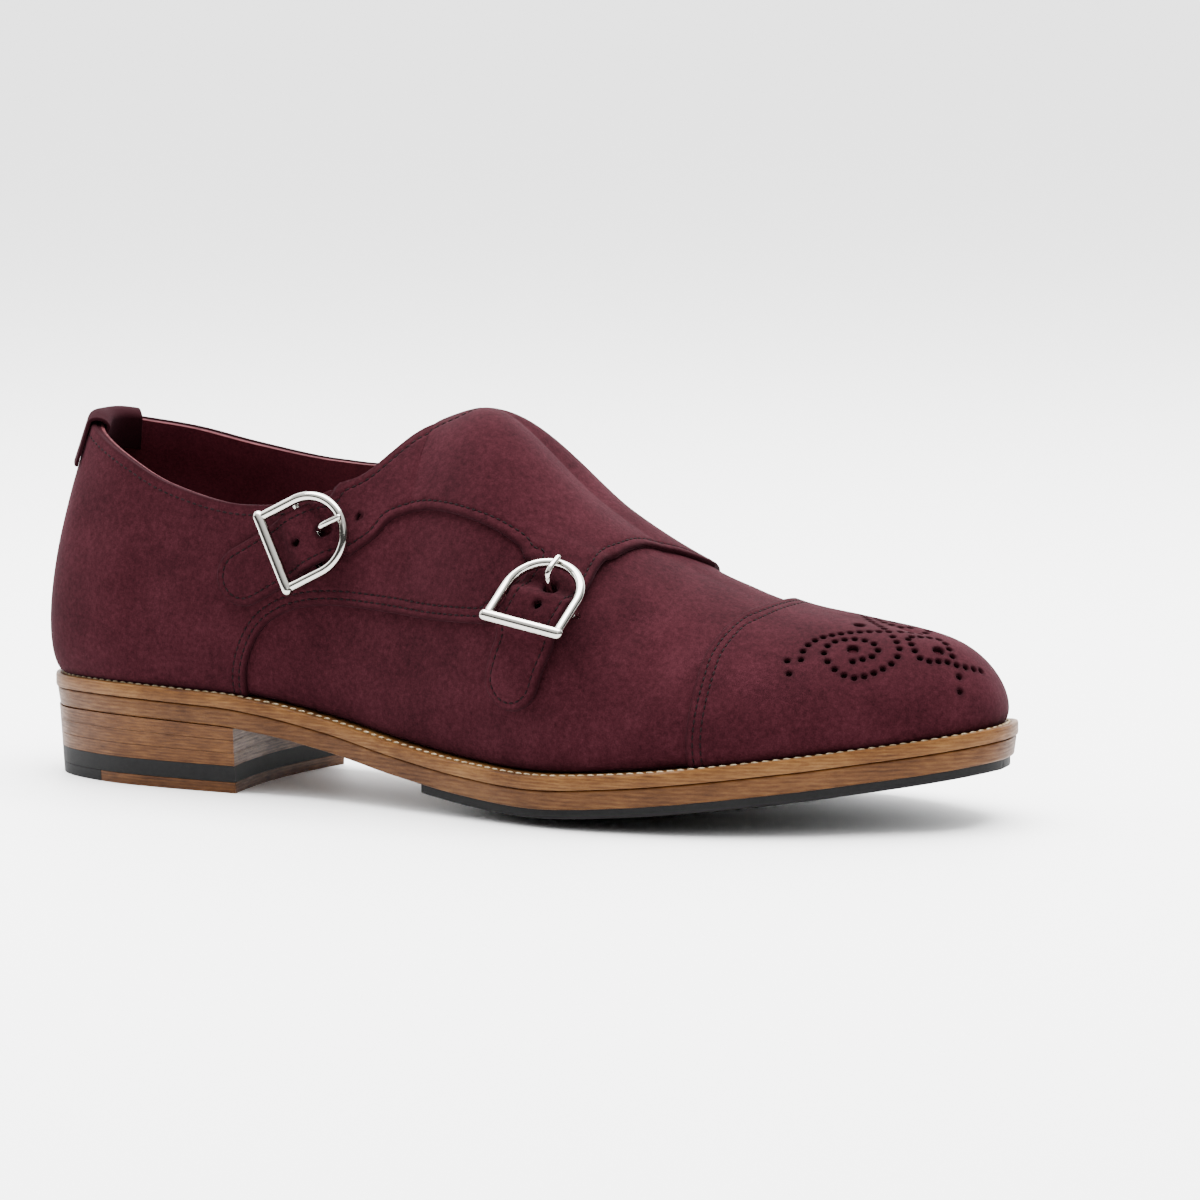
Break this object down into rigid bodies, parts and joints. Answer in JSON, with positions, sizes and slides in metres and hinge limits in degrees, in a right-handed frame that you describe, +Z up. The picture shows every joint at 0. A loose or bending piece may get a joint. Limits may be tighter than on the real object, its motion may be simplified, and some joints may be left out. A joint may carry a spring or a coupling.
{
  "type": "monk strap shoe",
  "caption": "Cap-toe double monk strap shoe with stacked heel, welted leather sole, overlaid quarters and buckled straps.",
  "frame": {"origin": "middle of the shoe's plan box, on the floor that it stands on", "axes": "+X towards the toe, +Y towards the inner side of the foot, +Z up"},
  "size_m": [0.2988, 0.1054, 0.1092],
  "materials": {
    "suede": "soft burgundy suede with a short nap",
    "lining_leather": "smooth dark red lining leather",
    "welt_leather": "waxed tan leather strip with cream stitches",
    "sole_leather": "burnished tan sole leather with a fine cut edge",
    "heel_leather": "stacked tan leather, its layers just showing",
    "sole_rubber": "dull black rubber",
    "buckle_metal": "polished silver plate"
  },
  "bodies": {
    "root": {"outsole": "sole_leather", "welt": "welt_leather", "forepart_rubber": "sole_rubber", "insole": "lining_leather", "heel_lift_1": "heel_leather", "heel_lift_2": "heel_leather", "heel_lift_3": "heel_leather", "heel_black_lift": "sole_rubber", "top_piece_leather": "heel_leather", "top_piece_rubber": "sole_rubber", "upper": "suede", "toe_cap": "suede", "outer_quarter": "suede", "saddle": "suede", "tongue": "suede", "heel_tab": "suede", "buckle_rear": "buckle_metal", "prong_rear": "buckle_metal", "buckle_front": "buckle_metal", "prong_front": "buckle_metal"}
  },
  "joints": []
}
